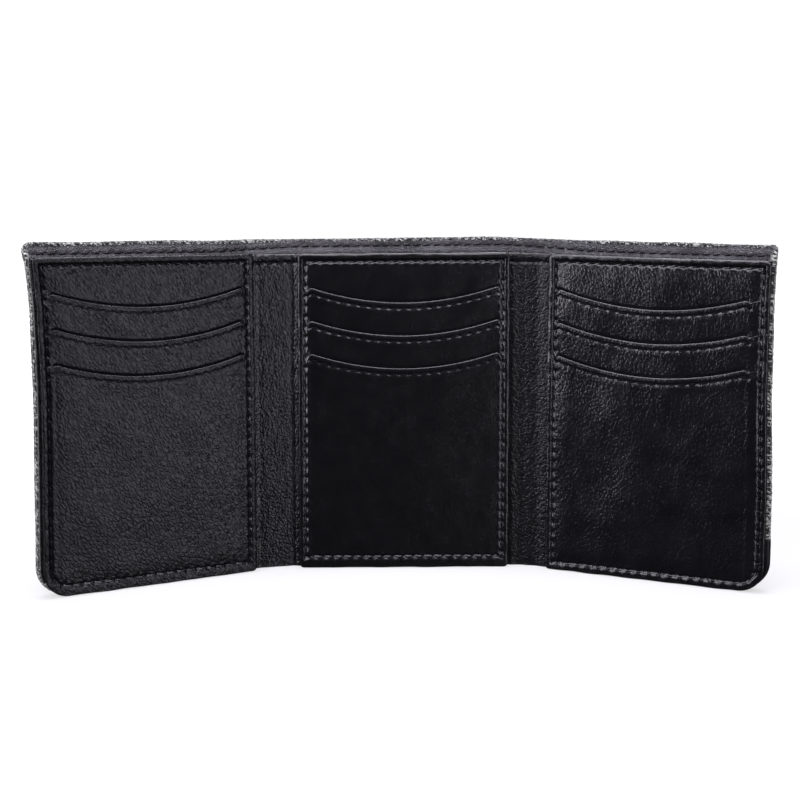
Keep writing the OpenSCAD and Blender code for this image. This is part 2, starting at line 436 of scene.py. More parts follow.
# The four stretches that a soft layer is made in. Each bends over one crease: the side that it is
# on, which of that side's creases, the bodies it joins, and the bodies whose nodes it stands for.
STRETCHES = {
    "left_outer": (-1, 0, ("left_spine", "left_wing"), ("left_wing",)),
    "left_inner": (-1, 1, ("centre", "left_spine"), ("left_spine", "centre")),
    "right_inner": (1, 1, ("centre", "right_spine"), ("right_spine",)),
    "right_outer": (1, 0, ("right_spine", "right_wing"), ("right_wing",)),
}
MID_HEIGHT = 54.0
SHARP_EDGE = 48  # degrees, from where two faces aren't shaded as one


def spans(join):
    """Where the four stretches of a layer start and end. join is the cut on the centre leaf, and
    None the wallet's own side."""
    cuts = (None, MIDS[-1], join, MIDS[1], None)
    return dict(zip(STRETCHES, zip(cuts, cuts[1:])))


def bend_ends(sign, crease):
    """Where a crease's bend starts and ends, in metres."""
    at = CREASES[sign][crease][0]
    ends = np.array([at - sign * SOFT, at + sign * SOFT])
    return [tuple(p) for p in fold(ends, np.full(2, AXIS_Y), np.full(2, MID_HEIGHT)) * MM]


def build(name, parts, material, replaces, body=None, stretch=None, tone=None):
    """Makes a piece from parts and puts it on its body; a stretch's piece stays where it lies, on no
    body.
    """
    all_verts, all_faces, offset = [], [], 0
    for verts, faces, _ in parts:
        placed = fold(*verts.T, body) * MM
        if volume(placed - placed.mean(0), faces) < 0:
            faces = [group[:, ::-1] for group in faces]
        all_verts.append(placed)
        for group in faces:
            all_faces += (group + offset).tolist()
        offset += len(verts)
    shown = np.concatenate([part[2] for part in parts])
    mesh = bpy.data.meshes.new(name)
    mesh.from_pydata(np.concatenate(all_verts).tolist(), [], all_faces, shade_flat=False)
    pattern = mesh.attributes.new("flat_pos", "FLOAT_VECTOR", "POINT")
    pattern.data.foreach_set("vector", shown.astype(np.float32).ravel())
    # tone, when given, marks where the cloth's painted light line goes, for its material
    if tone is not None:
        shade = mesh.attributes.new("edge_painted_light", "FLOAT", "POINT")
        shade.data.foreach_set("value", tone.astype(np.float32).ravel())
    mesh.set_sharp_from_angle(angle=math.radians(SHARP_EDGE))
    obj = bpy.data.objects.new(name, mesh)
    bpy.context.scene.collection.objects.link(obj)
    obj.data.materials.append(material)
    if body is not None:
        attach(obj, body)
    else:
        sign, crease, joined, _ = STRETCHES[stretch]
        inner, outer = bend_ends(sign, crease)
        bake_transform(obj)
    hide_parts(*replaces)
    return obj


def build_stretch(label, stretch, parts, material, layers, tone=None):
    """Makes one stretch's piece, which stands for these layers of the stretch's bodies."""
    nodes = [f"{body}_{layer}" for layer in layers for body in STRETCHES[stretch][3]]
    return build(f"{label}_{stretch}", parts, material, nodes, stretch=stretch, tone=tone)


# ---------------- materials
class Surface:
    """A material being made: its Principled shader, and short ways to add nodes that feed it."""

    def __init__(self, name):
        self.material = bpy.data.materials.new(name)
        self.material.use_nodes = True
        self.nodes = self.material.node_tree.nodes
        self.shader = self.nodes["Principled BSDF"]

    def link(self, source, socket):
        self.material.node_tree.links.new(source, socket)

    def feed(self, name, source):
        self.link(source, self.shader.inputs[name])

    def finish(self, **values):
        """Sets the shader's own constant values and gives the material."""
        for name, value in values.items():
            self.shader.inputs[name.replace("_", " ")].default_value = value
        return self.material

    def node(self, kind, vector=None, **values):
        made = self.nodes.new("ShaderNode" + kind)
        for key, value in values.items():
            if hasattr(made, key):
                setattr(made, key, value)
            else:
                made.inputs[key].default_value = value
        if vector is not None:
            self.link(vector, made.inputs["Vector"])
        return made

    def position(self):
        """The surface's flat position in millimetres, so that a pattern stays with the leather."""
        return self.node("Attribute", attribute_name="flat_pos").outputs["Vector"]

    def stretched(self, vector, factors):
        made = self.node("VectorMath", vector, operation="MULTIPLY")
        made.inputs[1].default_value = factors
        return made.outputs[0]

    def warped(self, vector, scale, amount):
        """vector, pushed about by soft noise."""
        warp = self.node("TexNoise", vector, Scale=scale, Detail=2.0)
        made = self.node("VectorMath", warp.outputs["Color"], operation="MULTIPLY_ADD")
        made.inputs[1].default_value = (amount,) * 3
        self.link(vector, made.inputs[2])
        return made.outputs[0]

    def ramp(self, source, low, high, out_low=0.0, out_high=1.0):
        """source from low to high, as a value from out_low to out_high."""
        ends = {"From Min": low, "From Max": high, "To Min": out_low, "To Max": out_high}
        made = self.node("MapRange", **ends)
        self.link(source, made.inputs["Value"])
        return made.outputs["Result"]

    def combine(self, operation, a, b):
        made = self.node("Math", operation=operation)
        for socket, value in zip(made.inputs, (a, b)):
            if isinstance(value, (int, float)):
                socket.default_value = value
            else:
                self.link(value, socket)
        return made.outputs[0]

    def noise(self, where, scale, detail=3.0, roughness=0.5):
        made = self.node("TexNoise", where, Scale=scale, Detail=detail, Roughness=roughness)
        return made.outputs["Fac"]

    def weave(self, where, yarn):
        """Height of a plain weave, its yarns this far apart."""
        split = self.node("SeparateXYZ", where)
        rows = []
        for axis in ("X", "Y"):
            turns = self.combine("MULTIPLY", split.outputs[axis], math.pi / yarn)
            rows.append(self.combine("SINE", turns, 0.0))
        return self.combine("MULTIPLY", *rows)

    def bump(self, height, strength, distance, normal=None):
        made = self.node("Bump", Strength=strength, Distance=distance * MM)
        self.link(height, made.inputs["Height"])
        if normal is not None:
            self.link(normal, made.inputs["Normal"])
        return made.outputs["Normal"]

    def mix(self, factor, a, b):
        """A colour from a to b. Each is a colour or a node's output."""
        made = self.node("Mix", data_type="RGBA")
        self.link(factor, made.inputs["Factor"])
        sockets = [i for i in made.inputs if i.type == "RGBA"]
        for socket, value in zip(sockets, (a, b)):
            if isinstance(value, tuple):
                socket.default_value = (*value, 1)
            else:
                self.link(value, socket)
        return [o for o in made.outputs if o.type == "RGBA"][0]


BLACK = (0.0016, 0.0015, 0.0021)
WORN = (0.0032, 0.0030, 0.0040)


def leather(name, rough, grain, depth, streak=1.0, turned=0, specular=0.5, pebble=0.0,
            dark=BLACK, light=WORN):
    """Leather with a fine grain of creased cells: grain of them to a millimetre, depth millimetres
    deep and drawn out by streak along the direction turned, in degrees from upright. pebble adds
    rounder lumps. Patches of it are duller and lighter."""
    made = Surface(name)
    where = made.position()
    upright = made.node("VectorRotate", where, rotation_type="Z_AXIS", Angle=math.radians(turned))
    drawn = made.stretched(upright.outputs[0], (1.0, streak, 1.0))
    bent = made.warped(drawn, grain * 0.6, 0.9 / grain)
    cells = made.node("TexVoronoi", bent, Scale=grain, feature="DISTANCE_TO_EDGE")
    crease = made.ramp(cells.outputs["Distance"], 0.0, 0.28)
    fine = made.noise(drawn, grain * 1.7, 4.0, 0.65)
    height = made.combine("ADD", crease, made.combine("MULTIPLY", fine, 1.6))
    normal = made.bump(height, 1.0, depth)
    if pebble:
        lumps = made.node("TexVoronoi", bent, Scale=pebble, feature="SMOOTH_F1", Smoothness=0.35)
        rounded = made.ramp(lumps.outputs["Distance"], 0.0, 0.75, 1.0, 0.0)
        normal = made.bump(rounded, 1.0, depth * 2.4, normal)
    made.feed("Normal", normal)
    patches = made.ramp(made.noise(where, 0.11, 3.0, 0.55), 0.3, 0.75)
    made.feed("Base Color", made.mix(patches, dark, light))
    dull = made.noise(where, 0.16)
    made.feed("Roughness", made.ramp(dull, 0.3, 0.7, rough - 0.025, rough + 0.035))
    return made.finish(Specular_IOR_Level=specular)


def thread_material():
    made = Surface("black_thread")
    wave = made.node("TexWave", made.position(), Scale=2.2, Distortion=2.0, Detail=2.0)
    fibres = wave.outputs["Fac"]
    made.feed("Normal", made.bump(fibres, 0.8, 0.05))
    made.feed("Base Color", made.mix(fibres, (0.003, 0.003, 0.004), (0.009, 0.009, 0.011)))
    return made.finish(Roughness=0.75, Specular_IOR_Level=0.05)


def tweed_material():
    """Salt-and-pepper cloth: a plain weave of dark and pale flecked yarns. Down the sides the turned
    edge's last part is a flat grey: painted light for a thin light line, and painted shade on the pale
    flecks."""
    made = Surface("salt_and_pepper_tweed")
    yarn = 0.44
    turned = made.node("Mapping", made.position(), Rotation=(0, 0, math.radians(45)))
    bent = made.warped(turned.outputs[0], 0.5, 0.5)
    fleck = made.node("TexVoronoi", made.stretched(bent, (1.0, 0.55, 1.0)), Scale=1.3 / yarn)
    shade = made.node("SeparateXYZ", fleck.outputs["Color"]).outputs["X"]
    fuzz = made.noise(bent, 2.8, 5.0, 0.7)
    tone = made.combine("ADD", shade, made.combine("MULTIPLY", fuzz, 0.9))
    flecked = made.mix(made.ramp(tone, 0.95, 1.30), (0.004, 0.0045, 0.0045), (0.30, 0.31, 0.29))
    # a flat grey on the turned edge's last part down the sides: a painted light line, and painted
    # shade over the pale flecks
    edge = made.node("Attribute", attribute_name="edge_painted_light").outputs["Fac"]
    made.feed("Base Color", made.mix(edge, flecked, (0.09, 0.09, 0.087)))
    height = made.combine("ADD", made.weave(bent, yarn), made.combine("MULTIPLY", fuzz, 1.4))
    made.feed("Normal", made.bump(height, 1.0, 0.16))
    return made.finish(
        Roughness=0.92, Specular_IOR_Level=0.15, Sheen_Weight=0.35, Sheen_Roughness=0.45
    )


def lining_material():
    made = Surface("bill_lining_weave")
    where = made.position()
    made.feed("Normal", made.bump(made.weave(where, 0.34), 0.7, 0.05))
    mottle = made.noise(where, 0.4)
    made.feed("Base Color", made.mix(mottle, (0.014, 0.015, 0.018), (0.030, 0.031, 0.035)))
    return made.finish(Roughness=0.5, Sheen_Weight=0.2)


PANEL_LEATHER = by_leaf(
    leather("left_panel_leather", 0.26, 1.0, 0.068, streak=0.5, turned=-35, specular=0.33),
    leather("centre_panel_leather", 0.25, 1.9, 0.019, streak=0.6, light=BLACK),
    leather("right_panel_leather", 0.22, 1.1, 0.040, streak=0.6, turned=-25),
)
LINER_LEATHER = {
    "left": leather("left_liner_leather", 0.21, 1.3, 0.045, 0.8, specular=0.44, pebble=1.2),
    "right": leather("right_liner_leather", 0.30, 1.1, 0.048, specular=0.37, pebble=1.0),
}
# The facing is the same black leather, painted many times lighter: painted light for the top light its
# leaning strip catches.
FACING_LEATHER_PAINTED_LIGHT = leather(
    "facing_leather_painted_light", 0.34, 1.5, 0.20, dark=(0.018, 0.017, 0.020), light=(0.075, 0.072, 0.080)
)
PATCH_LEATHER = leather("patch_leather", 0.38, 1.8, 0.03)
THREAD = thread_material()
TWEED = tweed_material()
LINING_CLOTH = lining_material()


# ---------------- card panels
def lip_line(leaf, s, low):
    """Height of a slot's lip: low in the middle, with rounded shoulders at the stitch row."""
    s0, s1 = PANEL[leaf][:2]
    half = (s1 - s0) / 2 - STITCH_IN
    off = np.abs(s - (s0 + s1) / 2)
    beyond = np.clip(SHOULDER - short_of_end(leaf, s), 0, SHOULDER * 0.97)
    drop = 0.8 * (SHOULDER - np.sqrt(SHOULDER**2 - beyond**2))
    return low + LEAF_LIFT[leaf] + 1.1 * LIP_SAG * np.clip(off / half, 0, 1) ** 2 - drop


def short_of_end(leaf, s):
    """How far s is inside the nearer end of the slots."""
    s0, s1 = PANEL[leaf][:2]
    left, right = LIP_ENDS[leaf]
    return np.minimum(s - s0 - STITCH_IN - left, s1 - STITCH_IN - right - s)


def sheet_level(leaf, s, z, number):
    """Front face of a panel's sheet. Past the ends of the slots the sheets are pressed together, so
    that one smooth face is left."""
    pressed = smooth((1.0 - short_of_end(leaf, s)) / 1.6)
    apart = HEADER_Y - LAYER_STEP * number
    together = layer_face(leaf, s, z, 6.0) - 0.04 * number
    return apart + (together - apart) * pressed


def layer_face(leaf, s, z, soft):
    """Front face of whichever sheet shows at s, z. soft is the height a step is spread over."""
    y = np.full(np.broadcast(s, z).shape, HEADER_Y)
    for low in LIP_LOW:
        y = y - LAYER_STEP * smooth((lip_line(leaf, s, low) - z) / soft + 0.5)
    return y


PANEL_STITCHES = {}
LIP_STITCHES = {}
for leaf in LEAVES:
    row_box = panel_box(leaf, STITCH_IN)
    row = ring_loops(row_box, inset_radii(corner_radii(leaf), STITCH_IN), [0], 0.5)[0]
    PANEL_STITCHES[leaf] = along(row, closed=True)
    LIP_STITCHES[leaf] = []
    for low in LIP_LOW:
        across = np.linspace(row_box[0] + 1.5, row_box[1] - 1.5, 200)
        across = across[short_of_end(leaf, across) > -0.4]
        line = np.stack([across, lip_line(leaf, across, low) - LIP_STITCH], -1)
        LIP_STITCHES[leaf].append(along(line, closed=False))

RUMPLE = by_leaf((0.13, 11), (0.06, 12), (0.12, 13))  # how uneven the leather is, and a seed
PILLOW = by_leaf(0.34, 0.07, 0.24)  # how far it sinks towards the stitch row


def leather_relief(leaf, s, z):
    """Everything that dents or lifts a panel's sheets apart from their own lips: the groove and the
    puckers of the edge's stitch row, and soft unevenness. Positive is into the panel."""
    radii = inset_radii(corner_radii(leaf), STITCH_IN)
    outside = outline_frame(s, z, panel_box(leaf, STITCH_IN), radii)[0]
    centres, _, holes = PANEL_STITCHES[leaf]
    relief = 0.20 * bell(outside, 0.5) + PILLOW[leaf] * bell(outside, 2.6)
    relief += 0.40 * nearness(s, z, holes, 0.80)
    relief -= 0.14 * nearness(s, z, centres, 1.15) * smooth((-outside - 0.2) / 0.6)
    amount, seed = RUMPLE[leaf]
    relief += amount * waves(s, z, 12, 36, seed)
    relief += 0.15 * amount * waves(s, z * 0.6, 3.0, 7.0, seed + 20, 18)
    return relief


def slot_drop(leaf, s, above):
    """How far the sheet behind a lip drops away, by the height above that lip."""
    return SLOT_DEPTH * (1 - smooth((above + 0.05) / 1.0)) * smooth(short_of_end(leaf, s) / 1.2)


def rounding(inside, radius):
    """A rounded edge's fall, by the distance inside the edge: 1 at the edge, 0 from radius on."""
    return 1 - np.sqrt(1 - np.clip(1 - inside / radius, 0, 1) ** 2)


LIP_EDGE_R = 0.32  # the rounding of the turned lip


def lip_relief(leaf, s, z, below, row):
    """The turned lip: its rounded edge, the rolled band under it, and its stitch row."""
    free = smooth(0.5 + short_of_end(leaf, s) / 1.4)
    relief = (0.04 + 0.30 * free) * rounding(below, LIP_EDGE_R)
    relief -= 0.10 * free * bell(below - 0.95, 0.75)
    relief += 0.11 * free * bell(below - LIP_STITCH, 0.42)
    relief += 0.18 * nearness(s, z, LIP_STITCHES[leaf][row][2], 0.48)
    relief -= 0.05 * free * bell(below - LIP_STITCH - 1.3, 0.9)
    return relief


TUCK = 1.75  # how far in from the panel's edge the sheets reach, under the turned edge
HIDDEN = 6.0  # how far a sheet goes down behind the next lip
SHEET_T = 0.42
EDGE_ROWS = [0, 0.03, 0.07, 0.13, 0.21]  # rows of points on the lip's rounding, below its edge


def panel_columns(leaf):
    s0, s1 = panel_box(leaf, TUCK)[:2]
    return graded(s0, s1, 0.24, 0.42, [s0, s1], 3.2)


def header_sheet(leaf):
    """The backing sheet, from behind the upper slot to the panel's top."""
    s0, s1, z0, z1 = panel_box(leaf, TUCK)
    low = LIP_LOW[0]
    top = z1 - low
    heights = graded(-HIDDEN, top, 0.2, 0.8, [0.3, top], 1.6)
    heights = np.unique(np.concatenate([heights, [-0.1, 0.0, 0.1]]))
    s, above = np.meshgrid(panel_columns(leaf), heights)
    lip = lip_line(leaf, s, low)
    z = lip + above - (lip - low) * smooth(above / 10)
    level = sheet_level(leaf, s, z, 0) + 0.06 * smooth(-above)
    face = level + leather_relief(leaf, s, z) + slot_drop(leaf, s, above)
    back = level + slot_drop(leaf, s, above) + SHEET_T + 0.35
    s, z = round_corners(s, z, (s0, s1, z0 - 50, z1), (0, 0, 0.6, 0.6))
    return slab(s, z, face, back)


def pocket_sheet(leaf, row):
    """A pocket, from its lip down to behind the next one, or to the panel's bottom."""
    s0, s1, z0, z1 = panel_box(leaf, TUCK)
    low = LIP_LOW[row]
    last = row == len(LIP_LOW) - 1
    depth = low - z0 if last else LIP_PITCH + HIDDEN
    spots = [LIP_STITCH, depth] if last else [LIP_STITCH, LIP_PITCH - 0.4]
    depths = np.concatenate([EDGE_ROWS, graded(LIP_EDGE_R, depth, 0.22, 0.8, spots, 1.3)])
    s, below = np.meshgrid(panel_columns(leaf), depths)
    lip = lip_line(leaf, s, low)
    z = lip - below
    if last:
        z = z - (lip - low) * smooth(below / 15)
        radii = inset_radii(corner_radii(leaf), TUCK)[:2]
        s, z = round_corners(s, z, (s0, s1, z0, z1 + 50), (*radii, 0, 0))
    level = sheet_level(leaf, s, z, row + 1) + (0 if last else 0.06 * smooth(below - LIP_PITCH))
    face = level + leather_relief(leaf, s, z) + lip_relief(leaf, s, z, below, row)
    back = level + SHEET_T + 0.10 * smooth(1 - below / 1.5)
    if not last:
        shift = slot_drop(leaf, s, LIP_PITCH - below)
        puff = 0.10 * np.sin(math.pi * np.clip(below / LIP_PITCH, 0, 1))
        face = face + shift - puff
        back = back + shift
    return slab(s, z, face, np.maximum(back, face + 0.12))


# The turned edge's section: inset from the panel's edge, and share of the way from back to front.
RING_SECTION = [
    (0.20, 0.00), (0.04, 0.12), (0.00, 0.35), (0.00, 0.60), (0.01, 0.78), (0.03, 0.89), (0.08, 0.95),
    (0.17, 0.985), (0.30, 1.00), (0.46, 1.00), (0.70, 1.00), (1.00, 1.00), (1.40, 0.995),
]
RING_FALL = [1.6, 1.76, 1.9, 2.04, 2.17, 2.3, 2.48, 2.7]  # from the roll down into the groove
ROLL_R, ROLL = 0.75, 0.465  # the rounding of the turned edge, everywhere but along the bottom
TOP_ROLL_R, TOP_ROLL = 1.05, 0.60  # the wider rounding along the top


def panel_ring(leaf):
    """The turned edge round a panel: a rolled strip from its edge down into the stitch row."""
    box, radii = panel_box(leaf), corner_radii(leaf)
    insets = [d for d, _ in RING_SECTION] + RING_FALL + [RING_FALL[-1]]
    loops = ring_loops(box, radii, insets, 0.36, (BOTTOM_WIDER[leaf], TOP_WIDER[leaf]))
    s, z = np.stack(loops).transpose(2, 0, 1)
    _, _, _, normal_s, normal_z = outline_frame(s, z, box, radii)
    base = LINER_FRONT - 0.04
    inside = np.array(insets)[:, None]
    low_down = smooth(-1.3 * normal_z)
    roll = ROLL * rounding(inside, ROLL_R) * (1 - low_down)
    top_roll = TOP_ROLL * rounding(inside, TOP_ROLL_R) * smooth(1.3 * normal_z)
    y = layer_face(leaf, s, z, 3.0) - 0.20 + np.maximum(roll, top_roll)
    for k, (_, share) in enumerate(RING_SECTION):
        y[k] = base + (y[k] - base) * share
    for k, inset in enumerate(RING_FALL, start=len(RING_SECTION)):
        y[k] += (0.66 - 0.45 * low_down[k]) * smooth((inset - 1.45) / 0.85)
        y[k] += 0.5 * smooth((inset - 2.3) / 0.4)
    y[-1] = base
    seed = 40 + LEAVES.index(leaf)
    centres, _, holes = PANEL_STITCHES[leaf]
    uneven = 0.30 * nearness(s, z, holes, 0.66) - 0.06 * nearness(s, z, centres, 1.2)
    y[:-1] += smooth((inside - 0.2) / 0.6)[:-1] * (uneven + 0.05 * waves(s, z, 3.5, 9.0, seed))[:-1]
    sway = 0.06 * waves(s, z, 5.0, 16.0, seed + 3) * (1 - smooth(inside / 1.6))
    verts = stacked(s + sway * normal_s, y, z + sway * normal_z)
    return verts, [quads(*s.shape, True, True)], stacked(s, z, y * 0.6)


def panel_threads(leaf):
    centres, ahead, _ = PANEL_STITCHES[leaf]
    level = layer_face(leaf, *centres.T, 0.8) + THREAD_SUNK[leaf]
    return [stitch_parts(centres, ahead, level, 60 + LEAVES.index(leaf), slant=0.30)]


def slot_threads(leaf):
    level = HEADER_Y + SLOT_THREAD_SUNK[leaf]
    return [
        stitch_parts(centres, ahead, level - LAYER_STEP * (row + 1), 70 + row, slant=0.16)
        for row, (centres, ahead, _) in enumerate(LIP_STITCHES[leaf])
    ]


for leaf in LEAVES:
    sheets = [("card_back", header_sheet(leaf))]
    sheets += [(f"{name}_pocket", pocket_sheet(leaf, row)) for row, name in enumerate(POCKETS)]
    sheets.append(("edge_binding", panel_ring(leaf)))
    for name, part in sheets:
        node_name = f"{leaf}_{name}"
        build(f"{node_name}_leather", [part], PANEL_LEATHER[leaf], [node_name], leaf)
    for name, parts in (("panel", panel_threads(leaf)), ("slot", slot_threads(leaf))):
        build(f"{leaf}_{name}_stitches", parts, THREAD, [f"{leaf}_{name}_thread"], leaf)

# ---------------- liner, lining and facing
LEAN = 1.5  # how far the shell's top edge leans back
LEAN_FROM = 90.0


def lean(z):
    """The bill compartment's mouth stands slightly open: the shell leans back towards its top."""
    return LEAN * np.clip((z - LEAN_FROM) / (SHELL_Z1 - LEAN_FROM), 0, 1.1) ** 2


GAPS = [
    (PANEL["left_wing"][1], PANEL["centre"][0]),
    (PANEL["centre"][1], PANEL["right_wing"][0]),
]
LINER_ROW = PANEL_TOP - 3.0
LINER_ROWS = [along(np.array([(a + 1, LINER_ROW), (b - 1, LINER_ROW)]), False) for a, b in GAPS]
FACING_ROW = SHELL_Z1 - 3.6
LINING_IN = 1.6  # how far inside the shell's sides the lining ends


def in_gap(s):
    """1 between the panels, easing to 0 under them."""
    share = np.zeros_like(s)
    for a, b in GAPS:
        share = np.maximum(share, smooth((s - a + 1.5) / 1.5) * smooth((b + 1.5 - s) / 1.5))
    return share


def stretch_ends(span, inset):
    """Where a stretch's piece starts and ends, the shell's own sides taken in by inset."""
    start, end = span
    return SHELL_S0 + inset if start is None else start, SHELL_S1 - inset if end is None else end


def round_bottom(s, z, span, inset):
    """Rounds the bottom corners of a grid that are the shell's own."""
    box = (s.min(), s.max(), z.min(), z.max())
    radii = [CORNER_R - inset if place is None else 0 for place in span]
    return round_corners(s, z, box, (*radii, 0, 0))


def liner_stretch(span):
    """The liner: pebbled leather that shows between the panels, dished in the left gap and turned a
    little towards the right wing in the right one."""
    start, end = span
    a = PANEL["left_wing"][0] if start is None else start
    b = PANEL["right_wing"][1] if end is None else end
    columns = graded(a, b, 0.33, 2.4, [sum(gap) / 2 for gap in GAPS], 9.5)
    rows = graded(0.0, PANEL_TOP, 0.25, 0.8, [LINER_ROW, PANEL_TOP], 1.6)
    s, z = np.meshgrid(columns, rows)
    gap = in_gap(s)
    in_left, in_right = [np.clip((s - a_gap) / (b_gap - a_gap), 0, 1) for a_gap, b_gap in GAPS]
    face = LINER_FRONT + 0.7 * in_left * (1 - in_left)
    face -= gap * 0.22 * smooth((s - GAPS[0][1] + 1.4) / 1.4)
    face -= gap * 0.3 * smooth((in_right - 0.10) / 0.80)
    face += gap * 0.25 * smooth((GAPS[1][0] + 1.4 - s) / 1.4)
    for at, _ in CREASES[-1]:
        face += gap * 0.10 * bell(s - at, 0.8)
    face += gap * 0.03 * waves(s * 1.3, z * 0.7, 5.0, 18.0, 81, 18)
    face += gap * 0.02 * waves(s, z * 0.8, 1.2, 2.6, 82, 24)
    holes = np.concatenate([row[2] for row in LINER_ROWS])
    above = z - LINER_ROW
    face -= gap * 0.30 * bell(above - 1.7, 1.15)
    face += gap * (0.20 * bell(above, 0.45) + 0.25 * nearness(s, z, holes, 0.5))
    face += 0.5 * rounding(PANEL_TOP - z, 0.6)
    back = np.maximum(LINER_BACK, face + 0.2)
    return slab(*round_bottom(s, z, span, 1.2), face, back, (s, z, 0 * s))


def facing_row(s):
    """Height of the facing's stitch row: a little higher on the centre leaf."""
    return FACING_ROW + np.interp(s, (-60, -34, 34, 60), (0.0, 1.1, 1.3, 0.0))


FACING_S = np.linspace(SHELL_S0 + 3.2, SHELL_S1 - 3.2, 300)
FACING_LINE = along(np.stack([FACING_S, facing_row(FACING_S)], -1), False)


def facing_stretch(span):
    """The leather facing inside the shell's top: its stitch row, and a swelling each side of it."""
    a, b = stretch_ends(span, 1.0)
    low, high = FACING[4], FACING[5] + 0.2
    rows = graded(low, high, 0.22, 2.0, [FACING_ROW, FACING[5]], 2.4)
    s, z = np.meshgrid(graded(a, b, 0.4, 0.4, [], 1), rows)
    above = z - facing_row(s)
    face = FACING[2] + lean(z) + 0.20 * bell(above, 0.4)
    face += 0.50 * nearness(s, z, FACING_LINE[2], 0.60)
    face -= 0.10 * bell(above - 1.5, 0.9) + 0.24 * bell(above + 1.7, 1.1)
    face += 0.05 * waves(s, z, 5.0, 14.0, 91)
    face += 0.05 * waves(s, z, 1.2, 2.6, 92, 20)
    back = np.maximum(FACING[3] + lean(z), face + 0.15)
    if span[0] is None:
        s, z = round_corners(s, z, (a, b, low, high), (0, 0, 0, 1.8))
    return slab(s, z, face, back)


def lining_stretch(span):
    a, b = stretch_ends(span, LINING_IN)
    creases = [crease[0] for pair in CREASES.values() for crease in pair]
    rows = graded(0.6, LINING[5] + 1.0, 2.0, 2.0, [], 1)
    s, z = np.meshgrid(graded(a, b, 0.5, 3.0, creases, 3.5), rows)
    shown = (s, z, 0 * s)
    s, z = round_bottom(s, z, span, LINING_IN)
    face = LINING[2] + 0.08 + 0.06 * waves(s, z, 12, 30, 95)
    return slab(s, z, face, LINING[3] + 0.1, shown)


for stretch, span in spans(0.0).items():
    skin = LINER_LEATHER[stretch.split("_")[0]]
    build_stretch("liner_leather", stretch, [liner_stretch(span)], skin, ["liner"])

JOIN = CREASES[1][1][0] - 8.0  # the cut across the centre leaf, in the layers that show
for stretch, span in spans(JOIN).items():
    facing = [facing_stretch(span)]
    build_stretch("facing_leather_painted_light", stretch, facing, FACING_LEATHER_PAINTED_LIGHT, ["facing"])
    lining = build_stretch(
        "bill_lining", stretch, [lining_stretch(span)], LINING_CLOTH, ["lining"]
    )

# ---------------- the cloth shell
CLOTH_T = 0.7
SIDE_FRONT = -0.62  # front face of the turned cloth down the sides
BOTTOM_FRONT = LINER_BACK + 0.05  # and along the bottom
TOP_FRONT = FACING[2] - 0.15
WRAP = 3.6  # how far the flat cloth goes on beyond the shell's outline
SHELL_RADII = (CORNER_R, CORNER_R, 1.6, 2.8)
BULK = 0.6  # the thick fold under the left wing's top corner
SIDE_MORE = (0.45, 1.0)  # how much more turned cloth shows on the left and on the right
FAR = 400.0  # a side of the outline that a stretch doesn't have
SQUARE = 0.01  # the radius of a corner that a stretch doesn't have


def shell_outline(left, right):
    """The shell's box and radii, for a stretch that has its left or its right side."""
    box = (SHELL_S0 if left else -FAR, SHELL_S1 if right else FAR, 0.0, SHELL_Z1)
    own = (left, right, right, left)
    return box, [radius if here else SQUARE for radius, here in zip(SHELL_RADII, own)]


def edge_reach(side):
    """How far inside the outline the back starts to round."""
    return 0.65 - 0.1 * side


def wrap_section(t, side, down, more, inner):
    """The turned edge's section, as (outwards, depth): t goes from 0, where the back starts to
    round, to 1 at the cloth's end. side is 0 along the top and 1 elsewhere, down is 1 along the
    bottom, and more is how much more cloth shows down the sides."""
    front = TOP_FRONT + (SIDE_FRONT - TOP_FRONT) * side
    front = front + (BOTTOM_FRONT - front) * down
    reach = edge_reach(side)
    hold = 0.35 + (more - 0.25) * side * (1 - down)
    half = (CLOTH_BACK - front) / 2
    arc = math.pi * np.sqrt((half**2 + reach**2) / 2)
    run = t * (arc + hold)
    angle = np.clip(run / arc, 0, 1) * math.pi
    flat = np.clip(run - arc, 0, None)
    thick = CLOTH_T if inner else 0.0
    wide, deep = np.maximum(reach - thick, 0.12), np.maximum(half - thick, 0.12)
    return wide * np.sin(angle) - reach - flat, (CLOTH_BACK + front) / 2 + deep * np.cos(angle)


def shell_point(u, v, box, radii, lift=0.0, inner=False):
    """Flat cloth coordinates to the turned shell's flat coordinates. Gives s, y, z, the place t on
    the turned edge's section, and 1 down the sides."""
    distance, foot_s, foot_z, normal_s, normal_z = outline_frame(u, v, box, radii)
    from_top = SHELL_Z1 - foot_z
    side = smooth((from_top - 0.2) / 4.5)
    start = -edge_reach(side)
    t = np.clip((distance - start) / (WRAP - start), 0, 1)
    down = smooth(-1.35 * normal_z)
    out, y = wrap_section(t, side, down, np.where(u < 0, *SIDE_MORE), inner)
    on_back = distance < start
    out = np.where(on_back, distance, out)
    y = np.where(on_back, CLOTH_BACK - (CLOTH_T if inner else 0.0), y)
    # at the top corners the turned cloth covers a little more of the inside
    at_end = smooth((2.5 - np.minimum(u - SHELL_S0, SHELL_S1 - u)) / 2.0)
    corner = smooth((7.0 - from_top) / 7.0) * at_end * side
    out = out - 1.1 * corner * smooth((t - 0.72) / 0.28)
    bulk = BULK * bell(from_top - 3.0, 2.6) * at_end
    out = out + bulk * (1 - t) * (u < 0) * ~on_back
    angle = np.clip(t * 1.15, 0, 1) * math.pi
    out = out + lift * np.where(on_back, 0.0, np.sin(angle))
    y = y + lift * np.where(on_back, 1.0, np.cos(angle))
    z = foot_z + out * normal_z
    return foot_s + out * normal_s, y + lean(z), z, t, side * (1 - down)


